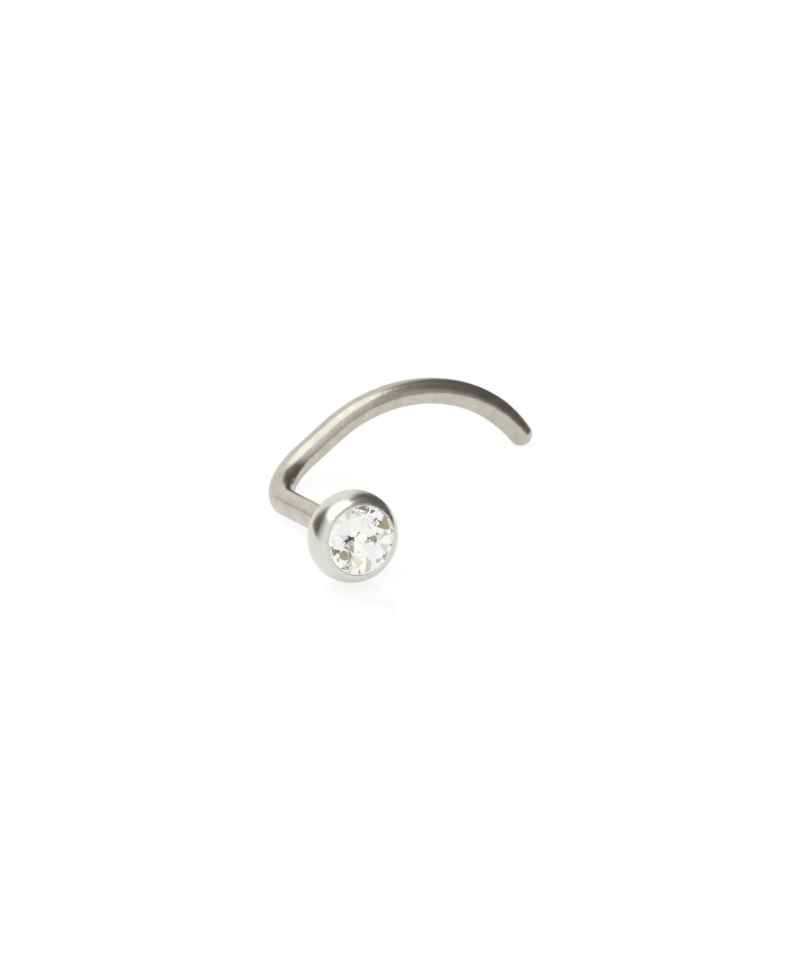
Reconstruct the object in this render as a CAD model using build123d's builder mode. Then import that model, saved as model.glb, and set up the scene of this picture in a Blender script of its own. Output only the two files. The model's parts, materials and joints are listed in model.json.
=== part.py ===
"""A nose stud: a crystal in a turned metal cup, on a wire bent into a post and a hook.

It rests the way it settles by itself, on three points: the cup's widest circle, the underside of
the bend and the tip of the hook. The origin is on that surface, under the middle of the stud.
+X points from the cup to the hook's tip, and +Y from the crystal's face back along the post.
Sizes are in millimetres and angles in degrees.
"""

import os
from math import acos, atan2, cos, degrees, hypot, radians, sin, sqrt, tan

from build123d import *

os.makedirs("parts", exist_ok=True)

# ---- the wire: post, bend, and a hook that rises, arches over and drops to its tip ----
wire_diameter = 0.8
post_slope = 11.2  # the post falls this much from the cup to the bend
bend_radius = 1.6  # of the centreline, as are all the wire's radii
hook_rise = 31.9  # of the hook's straight run, above the horizontal
run_end = 2.8  # from the corner of post and hook to the end of that run
arch_radius = 4.7
arch_turn = 52.1
drop_radius = 4.13
tip_diameter = 0.72
taper_turn = 14.0  # of the drop's last stretch, where the wire thins to its tip

# ---- the cup: a flattened ball with a seat in front and a blind socket behind ----
cup_diameter = 2.8
cup_half_depth = 1.1  # of the whole ball, along its axis
cup_front = 0.63  # from the widest circle to the face of the lip
cup_back = 1.03  # from the widest circle to the flat behind
opening_diameter = 2.11
lip_outer_fillet = 0.14
lip_inner_fillet = 0.02
lip_thickness = 0.05  # at the edge of the opening
socket_depth = 0.55
fit_gap = 0.015  # between the cup and what it holds

# ---- the crystal: a shallow round brilliant with a pointed back ----
girdle_diameter = 2.24
girdle_height = 0.04
table_diameter = 0.98  # across its corners
crown_tilt = 16.8
star_tilt = 11.2
upper_girdle_tilt = 28.4
pavilion_tilt = 31.3
lower_girdle_tilt = 33.8
mains = 8  # the number of main facets, above and below the girdle
crown_turn = 23.7  # of the first main facet above the girdle, from +X
pavilion_turn = 1.2  # and below it

wire_radius = wire_diameter / 2
tip_radius = tip_diameter / 2
cup_radius = cup_diameter / 2
opening_radius = opening_diameter / 2
girdle_radius = girdle_diameter / 2
table_radius = table_diameter / 2


# ---- directions: down the post, up in the hook's plane, along the hook's run ----
slope = radians(post_slope)
rise = radians(hook_rise)
down_post = Vector(0, cos(slope), -sin(slope))
hook_up = Vector(0, sin(slope), cos(slope))
along_run = Vector(cos(rise), 0, 0) + hook_up * sin(rise)
bend_axis = down_post.cross(along_run)

# ---- heights at which the cup and the bend just touch the surface ----
cup_height = hypot(cup_radius * cos(slope), cup_half_depth * sin(slope))
bend_dip = bend_radius * sqrt(1 - bend_axis.Z**2)  # the bend's lowest point, below its centre
corner_height = wire_radius + bend_dip - bend_radius * (sin(slope) + along_run.Z)
post_length = (cup_height - corner_height) / sin(slope)  # from the cup's centre to the corner

# ---- the hook's arch and drop, as distances across and up its plane from the corner ----
arch_centre_across = run_end * cos(rise) + arch_radius * sin(rise)
arch_centre_up = run_end * sin(rise) - arch_radius * cos(rise)
drop_start = rise - radians(arch_turn)  # the wire's direction there
drop_centre_across = arch_centre_across - (arch_radius - drop_radius) * sin(drop_start)
drop_centre_up = arch_centre_up + (arch_radius - drop_radius) * cos(drop_start)
tip_up = (tip_radius - corner_height) / cos(slope)  # so that the tip touches the surface
tip_direction = -acos((tip_up - drop_centre_up) / drop_radius)
drop_turn = degrees(drop_start - tip_direction)
tip_across = drop_centre_across - drop_radius * sin(tip_direction)

# ---- levels along the cup's axis, forward of its widest circle ----
crown_slope = tan(radians(crown_tilt))
lip_slope = tan(radians(upper_girdle_tilt))  # under the lip, along the facets beside the girdle
seat_slope = tan(radians(lower_girdle_tilt))
gap_at_lip = fit_gap / cos(radians(upper_girdle_tilt))
gap_at_seat = fit_gap / cos(radians(lower_girdle_tilt))
under_lip = cup_front - lip_thickness
girdle_top = under_lip - gap_at_lip - (girdle_radius - opening_radius) * lip_slope
girdle_bottom = girdle_top - girdle_height
table_level = girdle_top + (girdle_radius - table_radius) * crown_slope
culet_level = girdle_bottom - girdle_radius * tan(radians(pavilion_tilt))
seat_point = girdle_bottom - gap_at_seat - girdle_radius * seat_slope
socket_end = socket_depth - cup_back

# ---- the lip's rounded edge, which reaches furthest forward: the middle of its round, very nearly ----
round_level = cup_front - lip_outer_fillet
side_radius = cup_radius * sqrt(1 - (round_level / cup_half_depth) ** 2)
side_lean = atan2(round_level * cup_radius**2, side_radius * cup_half_depth**2)
round_radius = side_radius - lip_outer_fillet / cos(side_lean)

# ---- the cup's centre, so that the origin is under the middle of the stud ----
front_reach = round_level * cos(slope) + round_radius * sin(slope) + lip_outer_fillet
back_reach = post_length * cos(slope) + (arch_centre_up + arch_radius) * sin(slope) + wire_radius
cup_centre = Vector(
    (cup_radius - tip_across - tip_radius) / 2,
    (front_reach - back_reach) / 2,
    cup_height,
)
corner = cup_centre + down_post * post_length

cup_plane = Plane(cup_centre, x_dir=(1, 0, 0), z_dir=-down_post)
profile_plane = Plane(cup_centre, x_dir=(1, 0, 0), z_dir=-hook_up)  # its Y is the cup's axis
bend_plane = Plane(corner, x_dir=down_post, z_dir=bend_axis)
hook_plane = Plane(corner, x_dir=(1, 0, 0), z_dir=-down_post)


# ---- bezel cup: a body of revolution ----
seat_radius = girdle_radius + fit_gap
seat_top = under_lip - (seat_radius - opening_radius) * lip_slope
seat_foot = seat_point + seat_radius * seat_slope
socket_radius = wire_radius + fit_gap
back_radius = cup_radius * sqrt(1 - (cup_back / cup_half_depth) ** 2)
lip_radius = cup_radius * sqrt(1 - (cup_front / cup_half_depth) ** 2)
back_angle = -degrees(acos(back_radius / cup_radius))
side_turn = degrees(acos(lip_radius / cup_radius)) - back_angle

with BuildPart() as bezel_cup:
    with BuildSketch(profile_plane):
        with BuildLine():
            EllipticalCenterArc((0, 0), cup_radius, cup_half_depth, back_angle, arc_size=side_turn)
            Polyline(
                (lip_radius, cup_front),
                (opening_radius, cup_front),
                (opening_radius, under_lip),
                (seat_radius, seat_top),
                (seat_radius, seat_foot),
                (0, seat_point),
                (0, socket_end),
                (socket_radius, socket_end),
                (socket_radius, -cup_back),
                (back_radius, -cup_back),
            )
        make_face()
    revolve(axis=Axis(cup_centre, down_post))
    lip_edges = bezel_cup.edges().filter_by(GeomType.CIRCLE).group_by(Axis(cup_centre, -down_post))[-1]
    lip_edges = lip_edges.sort_by(SortBy.RADIUS)
    fillet(lip_edges[-1], lip_outer_fillet)
    fillet(lip_edges[0], lip_inner_fillet)
bezel_cup.part.label = "bezel_cup"
export_step(bezel_cup.part, "parts/bezel_cup.step")


# ---- wire: one bent length, its head end seated in the cup's socket ----
with BuildPart() as wire:
    with BuildLine(bend_plane) as stem:
        post = Line((-post_length - socket_end + fit_gap, 0), (-bend_radius, 0))
        JernArc(start=post @ 1, tangent=post % 1, radius=bend_radius, arc_size=90)
    with BuildLine(hook_plane) as hook:
        run = PolarLine((bend_radius * cos(rise), bend_radius * sin(rise)), run_end - bend_radius, hook_rise)
        arch = JernArc(start=run @ 1, tangent=run % 1, radius=arch_radius, arc_size=-arch_turn)
        JernArc(start=arch @ 1, tangent=arch % 1, radius=drop_radius, arc_size=taper_turn - drop_turn)
    with BuildLine(hook_plane) as taper:
        JernArc(start=hook.line @ 1, tangent=hook.line % 1, radius=drop_radius, arc_size=-taper_turn)

    for path in (stem.line, hook.line):
        with BuildSketch(Plane(path @ 0, z_dir=path % 0)):
            Circle(wire_radius)
        sweep(path=path)
    with BuildSketch(Plane(taper.line @ 0, z_dir=taper.line % 0)):
        Circle(wire_radius)
    with BuildSketch(Plane(taper.line @ 1, z_dir=taper.line % 1)):
        Circle(tip_radius)
    sweep(path=taper.line, multisection=True)
    with Locations(taper.line @ 1):
        Sphere(tip_radius)
wire.part.label = "wire"
export_step(wire.part, "parts/wire.step")


# ---- crystal: a round blank, cut by one plane for each facet ----
def facet(azimuth, tilt, radius, level):
    """A facet's plane: tilted from the table's, and passing radius, level on the side of azimuth."""
    turned = Location((0, 0, 0), (0, 0, azimuth))
    leaned = Location((radius, 0, level), (0, tilt, 0))
    return Plane(cup_plane.location * turned * leaned)


step = 360 / mains
table_flat = table_radius * cos(radians(step / 2))
girdle_chord = girdle_radius * cos(radians(step / 4))

with BuildPart() as crystal:
    with BuildSketch(cup_plane.offset(culet_level)):
        Circle(girdle_radius)
    extrude(amount=table_level - culet_level)
    for main in range(mains):
        above = crown_turn + main * step
        below = pavilion_turn + main * step
        cuts = [
            facet(above, crown_tilt, girdle_radius, girdle_top),
            facet(above + step / 2, star_tilt, table_flat, table_level),
            facet(below, 180 - pavilion_tilt, girdle_radius, girdle_bottom),
        ]
        for side in (-step / 4, step / 4):
            cuts.append(facet(above + side, upper_girdle_tilt, girdle_chord, girdle_top))
            cuts.append(facet(below + side, 180 - lower_girdle_tilt, girdle_chord, girdle_bottom))
        for cut in cuts:
            split(bisect_by=cut, keep=Keep.BOTTOM)
crystal.part.label = "crystal"
export_step(crystal.part, "parts/crystal.step")
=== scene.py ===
import json
from math import cos, degrees, radians, sin

import bmesh
import bpy
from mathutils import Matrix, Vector


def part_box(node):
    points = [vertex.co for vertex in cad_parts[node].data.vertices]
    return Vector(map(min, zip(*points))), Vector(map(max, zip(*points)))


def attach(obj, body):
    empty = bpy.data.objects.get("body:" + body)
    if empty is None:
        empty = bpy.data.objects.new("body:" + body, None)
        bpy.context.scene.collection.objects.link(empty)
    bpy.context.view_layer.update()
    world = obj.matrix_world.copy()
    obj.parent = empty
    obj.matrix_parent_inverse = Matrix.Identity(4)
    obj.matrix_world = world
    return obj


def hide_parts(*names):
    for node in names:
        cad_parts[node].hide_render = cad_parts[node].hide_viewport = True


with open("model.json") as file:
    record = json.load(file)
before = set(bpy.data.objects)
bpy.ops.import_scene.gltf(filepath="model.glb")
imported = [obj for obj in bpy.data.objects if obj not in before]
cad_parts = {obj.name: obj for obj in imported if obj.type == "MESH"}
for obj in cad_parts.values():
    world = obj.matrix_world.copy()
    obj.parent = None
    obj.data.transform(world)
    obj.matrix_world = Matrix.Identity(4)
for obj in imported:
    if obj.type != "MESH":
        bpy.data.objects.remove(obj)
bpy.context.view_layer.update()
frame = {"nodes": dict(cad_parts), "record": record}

# A nose stud, dressed: a turned silver cup, a faceted crystal with a foiled back and a satin wire, on white
# paper in a small studio. Every length is in metres, in the CAD's frame.
MM = 0.001
BOUNCES = 24  # light turns many times inside the crystal

# ---- where things are, from the frame ----
POST = next(m for m in frame["record"]["mounts"] if m["name"] == "post")
DOWN_POST = Vector(POST["axis"]).normalized()
CUP_AXIS = -DOWN_POST  # out through the crystal's face
CUP_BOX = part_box("bezel_cup")
CUP_HEIGHT = (CUP_BOX[0].z + CUP_BOX[1].z) / 2
CUP_CENTRE = Vector(POST["pos_m"]) + DOWN_POST * (CUP_HEIGHT - POST["pos_m"][2]) / DOWN_POST.z

# ---- the camera ----
VIEW_AZIMUTH = radians(-24.74)
VIEW_ELEVATION = radians(25.65)
VIEW_DISTANCE = 300 * MM
VIEW_HEIGHT = 28.444 * MM  # what the picture's height spans, at the cup
CUP_OFF_CENTRE = (-1.4015 * MM, -1.6598 * MM)  # to the right and up, in the picture

# ---- the floor ----
FLOOR_SIZE = 50 * MM
FLOOR_OWN = 0.88  # the light of its own that the camera sees, where 1 is white
FLOOR_OWN_MIRRORED = 0.5  # and that the metal sees
FLOOR_PAPER = (0.18, 0.18, 0.18, 1)  # what it does with the studio's light, for the camera
FLOOR_PAPER_MIRRORED = (0.6, 0.59, 0.57, 1)
SHEEN = 0.13  # the share that it mirrors where the cup touches it
SHEEN_REACH = 4.2 * MM  # forward from there, to where it has faded out
SHEEN_HALF_LENGTH = 3.2 * MM  # of the oval that it fills
SHEEN_HALF_WIDTH = 1.5 * MM
SHEEN_EDGE = (0.88, 1.05)  # from the oval's middle, as shares of its half sizes

# ---- the meshes ----
SAME_POINT = 0.0005 * MM
SAME_FACET = radians(1)
CREASE = radians(25)  # metal faces that meet at more than this keep a sharp edge
GLASS_LEAN = 0.2  # facets whose normals reach further than this along the cup's axis are clear


def srgb(red, green, blue):
    """A linear colour from the 0 to 255 values it should show as."""
    def linear(v):
        v /= 255
        return v / 12.92 if v <= 0.04045 else ((v + 0.055) / 1.055) ** 2.4
    return (linear(red), linear(green), linear(blue), 1.0)


class Nodes:
    """A node tree being filled: each call adds a node, sets its inputs and returns its first output."""

    def __init__(self, tree):
        self.tree = tree
        tree.nodes.clear()

    def add(self, kind, inputs=(), output=0, **settings):
        node = self.tree.nodes.new(kind)
        for name, value in settings.items():
            setattr(node, name, value)
        for key, value in dict(inputs).items():
            socket = node.inputs[key]
            if isinstance(value, bpy.types.NodeSocket):
                self.tree.links.new(value, socket)
            else:
                socket.default_value = value
        return node.outputs[output] if node.outputs else node

    def math(self, operation, *values, **settings):
        return self.add("ShaderNodeMath", enumerate(values), operation=operation, **settings)

    def ramp(self, value, low, high, to_low=0.0, to_high=1.0):
        """value, carried smoothly from low..high to to_low..to_high."""
        inputs = {0: value, 1: low, 2: high, 3: to_low, 4: to_high}
        return self.add("ShaderNodeMapRange", inputs, interpolation_type="SMOOTHSTEP")

    def mix_colour(self, factor, first, second):
        inputs = {0: factor, 6: first, 7: second}
        return self.add("ShaderNodeMix", inputs, output=2, data_type="RGBA")


def new_material(name):
    """A material of that name and its empty node tree."""
    material = bpy.data.materials.new(name)
    material.use_nodes = True
    return material, Nodes(material.node_tree)


def make_camera():
    level = cos(VIEW_ELEVATION)
    back = Vector((sin(VIEW_AZIMUTH) * level, -cos(VIEW_AZIMUTH) * level, sin(VIEW_ELEVATION)))
    data = bpy.data.cameras.new("camera")
    data.lens = data.sensor_width * VIEW_DISTANCE / VIEW_HEIGHT
    data.clip_start = VIEW_DISTANCE / 30
    camera = bpy.data.objects.new("camera", data)
    bpy.context.scene.collection.objects.link(camera)
    aside = back.to_track_quat("Z", "Y") @ Vector((-CUP_OFF_CENTRE[0], -CUP_OFF_CENTRE[1], 0))
    camera.location = CUP_CENTRE + back * VIEW_DISTANCE
    camera.rotation_euler = (back * VIEW_DISTANCE - aside).to_track_quat("Z", "Y").to_euler()
    bpy.context.scene.camera = camera


# ---- the studio: directions are azimuth from +Y towards +X, and elevation, in degrees ----
WALLS = (
    # near end and its soft edge, far end and its soft edge, foot, top and their edge, low and high colour
    (-84, 20, -26, 11, -1, 43, 4, (112, 109, 105), (146, 143, 138)),
    (34, 12, 160, 30, -6, 77, 7, (107, 106, 102), (152, 149, 143)),
)
WALL_FADE = (0.45, 0.95)  # of a wall's top: where its low colour ends and its high colour begins
BACK_WALL = (250, 250, 244)
SOFTBOX = (-100, 72, 31, 5, (1.62, 1.62, 1.50))  # azimuth, elevation, radius, edge, colour

# ---- what the crystal's light passes to: a white tent with cards hung in it ----
# Half of the cards' places are directions that a ray tracer of the crystal printed: see Slips in report.md.
TENT_SHADE, TENT_LIGHT = (0.93, 0.92, 0.92), (1.06, 1.06, 1.05)  # its cloth is a little uneven
CARD_EDGE = 0.3  # of a card's radius
CARDS = (
    # azimuth, elevation, radius, colour
    (126, -2, 9, (0.03, 0.025, 0.02)),
    (126, 35, 8, (0.30, 0.28, 0.24)),
    (105, 20, 12, (0.07, 0.055, 0.05)),
    (68, 24, 9, (0.07, 0.055, 0.05)),
    (130, 56, 11, (0.14, 0.13, 0.14)),
    (166, 69, 7, (0.20, 0.20, 0.20)),
    (145, 22, 6, (0.17, 0.17, 0.12)),
    (-135, 45, 8, (0.16, 0.09, 0.03)),
    (-135, 28, 6, (0.42, 0.33, 0.22)),
    (177, 42, 8, (0.32, 0.27, 0.15)),
    (177, 59, 7, (0.20, 0.16, 0.06)),
    (170, 27, 5, (0.30, 0.26, 0.10)),
    (-170, 33, 5, (0.40, 0.34, 0.18)),
    (-166, 13, 8, (0.22, 0.20, 0.15)),
    (-143, 9, 5, (0.24, 0.21, 0.17)),
    (179, 3, 5, (0.40, 0.36, 0.30)),
    (-161, -8, 5, (0.66, 0.61, 0.56)),
    (175, -17, 7, (0.72, 0.67, 0.60)),
    (-147, -48, 11, (0.26, 0.24, 0.18)),
    (-151, -1, 4, (0.84, 0.79, 0.62)),
    (-150, -11, 4, (0.52, 0.49, 0.43)),
    (151, -15, 9, (0.87, 0.93, 0.93)),
)


def aim(azimuth, elevation):
    across = cos(radians(elevation))
    return Vector((across * sin(radians(azimuth)), across * cos(radians(azimuth)), sin(radians(elevation))))


def make_world():
    """The walls and the softbox for the metal, the tent for the crystal, and plain white behind."""
    world = bpy.data.worlds.new("studio")
    bpy.context.scene.world = world
    world.use_nodes = True
    n = Nodes(world.node_tree)
    direction = n.add("ShaderNodeTexCoord")
    axes = n.add("ShaderNodeSeparateXYZ", {0: direction}).node.outputs
    azimuth = n.math("DEGREES", n.math("ARCTAN2", axes[0], axes[1]))
    elevation = n.math("DEGREES", n.math("ARCSINE", axes[2]))

    def disc(light, middle, height, radius, edge, colour):
        """light, with a round card of that colour in front of it."""
        towards = {0: direction, 1: aim(middle, height)}
        dot = n.add("ShaderNodeVectorMath", towards, output=1, operation="DOT_PRODUCT")
        off = n.math("DEGREES", n.math("ARCCOSINE", dot))
        return n.mix_colour(n.ramp(off, radius - edge, radius + edge, 1, 0), light, colour + (1.0,))

    room = srgb(*BACK_WALL)
    for near, near_edge, far, far_edge, foot, top, edge, low, high in WALLS:
        after = n.ramp(azimuth, near - near_edge, near + near_edge)
        before = n.ramp(azimuth, far - far_edge, far + far_edge, 1, 0)
        above = n.ramp(elevation, foot - edge, foot + edge)
        below = n.ramp(elevation, top - edge, top + edge, 1, 0)
        inside = n.math("MULTIPLY", n.math("MULTIPLY", above, below), n.math("MULTIPLY", after, before))
        fade = n.ramp(elevation, WALL_FADE[0] * top, WALL_FADE[1] * top)
        wall = n.mix_colour(fade, srgb(*low), srgb(*high))
        room = n.mix_colour(inside, room, wall)
    room = disc(room, *SOFTBOX)
    folds = n.add("ShaderNodeTexNoise", {"Vector": direction, "Scale": 5.0, "Detail": 1.0})
    tent = n.mix_colour(n.ramp(folds, 0.35, 0.65), TENT_SHADE + (1.0,), TENT_LIGHT + (1.0,))
    for middle, height, radius, colour in CARDS:
        tent = disc(tent, middle, height, radius, CARD_EDGE * radius, colour)
    path = n.add("ShaderNodeLightPath").node.outputs
    plain = n.mix_colour(path["Is Singular Ray"], room, (1, 1, 1, 1))  # for the sharp sheen of the floor
    light = n.mix_colour(path["Is Transmission Ray"], plain, tent)
    seen = n.mix_colour(path["Is Camera Ray"], light, (1, 1, 1, 1))
    background = n.add("ShaderNodeBackground", {"Color": seen, "Strength": 1.0})
    n.add("ShaderNodeOutputWorld", {"Surface": background})


def make_floor():
    """White paper, with a faint sheen in front of the cup."""
    bpy.ops.mesh.primitive_plane_add(size=FLOOR_SIZE)
    floor = bpy.context.object
    floor.name = "floor"
    floor.visible_transmission = False  # light that has left the crystal passes it
    material, n = new_material("floor_white")
    path = n.add("ShaderNodeLightPath").node.outputs
    to_camera = n.math("MULTIPLY", path["Is Camera Ray"], FLOOR_OWN)
    to_metal = n.math("MULTIPLY", path["Is Glossy Ray"], FLOOR_OWN_MIRRORED)
    own = n.math("ADD", to_camera, to_metal)
    glow = n.add("ShaderNodeEmission", {"Color": (1, 1, 1, 1), "Strength": own})
    white = n.mix_colour(path["Is Glossy Ray"], FLOOR_PAPER, FLOOR_PAPER_MIRRORED)
    paper = n.add("ShaderNodeBsdfDiffuse", {"Color": white})
    lit = n.add("ShaderNodeAddShader", {0: glow, 1: paper})
    contact = Vector((CUP_CENTRE.x, CUP_CENTRE.y, 0))
    arm = n.add("ShaderNodeVectorMath", {0: n.add("ShaderNodeNewGeometry"), 1: contact}, operation="SUBTRACT")

    def reach(azimuth):
        """How far a point of the floor is from the contact, in that direction."""
        return n.add("ShaderNodeVectorMath", {0: arm, 1: aim(azimuth, 0)}, output=1, operation="DOT_PRODUCT")

    ahead = reach(180 - degrees(VIEW_AZIMUTH))
    aside = reach(90 - degrees(VIEW_AZIMUTH))
    oval = n.add("ShaderNodeCombineXYZ", {
        0: n.math("DIVIDE", aside, SHEEN_HALF_WIDTH),
        1: n.math("SUBTRACT", n.math("DIVIDE", ahead, SHEEN_HALF_LENGTH), 1.0)})
    off = n.add("ShaderNodeVectorMath", {0: oval}, output=1, operation="LENGTH")
    sheen = n.math("MULTIPLY", n.ramp(off, *SHEEN_EDGE, 1, 0), n.ramp(ahead, 0, SHEEN_REACH, SHEEN, 0))
    gloss = n.add("ShaderNodeBsdfGlossy", {"Color": (1, 1, 1, 1), "Roughness": 0.0})
    n.add("ShaderNodeOutputMaterial", {"Surface": n.add("ShaderNodeMixShader", {0: sheen, 1: lit, 2: gloss})})
    floor.data.materials.append(material)


def merged(node):
    """A node's mesh in edit form, with the points that its faces share joined."""
    work = bmesh.new()
    work.from_mesh(frame["nodes"][node].data)
    bmesh.ops.remove_doubles(work, verts=work.verts, dist=SAME_POINT)
    return work


def stand_in(node, name, work, materials):
    """A piece of that name for the node, from the edit form of its mesh."""
    mesh = bpy.data.meshes.new(name)
    work.to_mesh(mesh)
    work.free()
    if "custom_normal" in mesh.attributes:
        mesh.attributes.remove(mesh.attributes["custom_normal"])
    for material in materials:
        mesh.materials.append(material)
    piece = bpy.data.objects.new(name, mesh)
    bpy.context.scene.collection.objects.link(piece)
    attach(piece, "root")
    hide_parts(node)
    return piece


def smooth_metal(node, name, material):
    """The node with one smooth skin over its faces, and creases only where it is sharp."""
    work = merged(node)
    for face in work.faces:
        face.smooth = True
    for edge in work.edges:
        edge.smooth = edge.calc_face_angle(0) < CREASE
    return stand_in(node, name, work, [material])


def wire_metal():
    """Satin titanium: warm grey, with a fine tumbled grain and faint blotches."""
    material, n = new_material("wire_titanium")
    place = n.add("ShaderNodeTexCoord", output=3)
    grain = n.add("ShaderNodeTexNoise", {"Vector": place, "Scale": 22 / MM, "Detail": 2.0})
    dimples = n.add("ShaderNodeTexNoise", {"Vector": place, "Scale": 9 / MM, "Detail": 2.0})
    blotches = n.add("ShaderNodeTexNoise", {"Vector": place, "Scale": 3 / MM, "Detail": 3.0})
    colour = n.mix_colour(n.ramp(blotches, 0.35, 0.65), srgb(194, 189, 182), srgb(204, 199, 194))
    height = n.math("ADD", n.math("MULTIPLY", dimples, 0.8), n.math("MULTIPLY", grain, 0.2))
    bump = n.add("ShaderNodeBump", {"Strength": 1.0, "Distance": 0.0045 * MM, "Height": height})
    metal = n.add("ShaderNodeBsdfPrincipled", {
        "Base Color": colour, "Metallic": 1.0, "Roughness": n.ramp(grain, 0.3, 0.7, 0.16, 0.27),
        "Normal": bump})
    n.add("ShaderNodeOutputMaterial", {"Surface": metal})
    return material


def cup_metal():
    """Turned and polished metal: cool silver, with fine rings round the cup's axis."""
    material, n = new_material("cup_silver")
    place = n.add("ShaderNodeTexCoord", output=3)
    arm = n.add("ShaderNodeVectorMath", {0: place, 1: CUP_CENTRE}, operation="SUBTRACT")
    along = n.add("ShaderNodeVectorMath", {0: arm, 1: CUP_AXIS}, output=1, operation="DOT_PRODUCT")
    round_axis = n.add("ShaderNodeVectorMath", {0: CUP_AXIS, 1: arm}, operation="CROSS_PRODUCT")
    ring_tangent = n.add("ShaderNodeVectorMath", {0: round_axis}, operation="NORMALIZE")
    distance = n.add("ShaderNodeVectorMath", {0: round_axis}, output=1, operation="LENGTH")
    # the marks of turning run round the axis, so their pattern is long that way and fine across it
    fineness = 26 / MM
    stretched = n.add("ShaderNodeVectorMath", {0: ring_tangent, 1: (1.5, 1.5, 1.5)}, operation="MULTIPLY")
    across = n.add("ShaderNodeCombineXYZ", {
        0: n.math("MULTIPLY", along, fineness), 1: n.math("MULTIPLY", distance, fineness)})
    lines = n.add("ShaderNodeVectorMath", {0: stretched, 1: across}, operation="ADD")
    marks = n.add("ShaderNodeTexNoise", {"Vector": lines, "Scale": 1.0, "Detail": 3.0})
    colour = n.mix_colour(marks, srgb(213, 212, 210), srgb(228, 227, 226))
    bump = n.add("ShaderNodeBump", {"Strength": 1.0, "Distance": 0.0035 * MM, "Height": marks})
    metal = n.add("ShaderNodeBsdfPrincipled", {
        "Base Color": colour, "Metallic": 1.0, "Roughness": n.ramp(marks, 0.3, 0.7, 0.12, 0.2),
        "Anisotropic": 0.5, "Tangent": ring_tangent, "Normal": bump})
    n.add("ShaderNodeOutputMaterial", {"Surface": metal})
    return material


def crystal_glass():
    """Clear cut glass, for the facets in front of the girdle."""
    material, n = new_material("crystal_glass")
    glass = n.add("ShaderNodeBsdfGlass", {"Color": (1, 1, 1, 1), "Roughness": 0.0, "IOR": 1.56})
    n.add("ShaderNodeOutputMaterial", {"Surface": glass})
    return material


def foil_mirror():
    """The silver foil on the girdle and on the facets behind it."""
    material, n = new_material("crystal_foil")
    mirror = n.add("ShaderNodeBsdfGlossy", {"Color": (0.97, 0.97, 0.965, 1), "Roughness": 0.0})
    n.add("ShaderNodeOutputMaterial", {"Surface": mirror})
    return material


def make_crystal():
    """The crystal as its flat facets: clear in front, and foiled round the girdle and behind."""
    work = merged("crystal")
    bmesh.ops.dissolve_limit(work, angle_limit=SAME_FACET, verts=work.verts, edges=work.edges)
    work.normal_update()
    for face in work.faces:
        face.smooth = False
        face.material_index = 0 if face.normal.dot(CUP_AXIS) > GLASS_LEAN else 1
    stand_in("crystal", "crystal_cut", work, [crystal_glass(), foil_mirror()])


scene = bpy.context.scene
scene.view_settings.view_transform = "Standard"
scene.cycles.max_bounces = BOUNCES
scene.cycles.glossy_bounces = BOUNCES
scene.cycles.transmission_bounces = BOUNCES
make_camera()
make_world()
make_floor()
smooth_metal("wire", "wire_skin", wire_metal())
cup = smooth_metal("bezel_cup", "cup_skin", cup_metal())
cup.visible_transmission = False  # light that has left the crystal passes it
make_crystal()
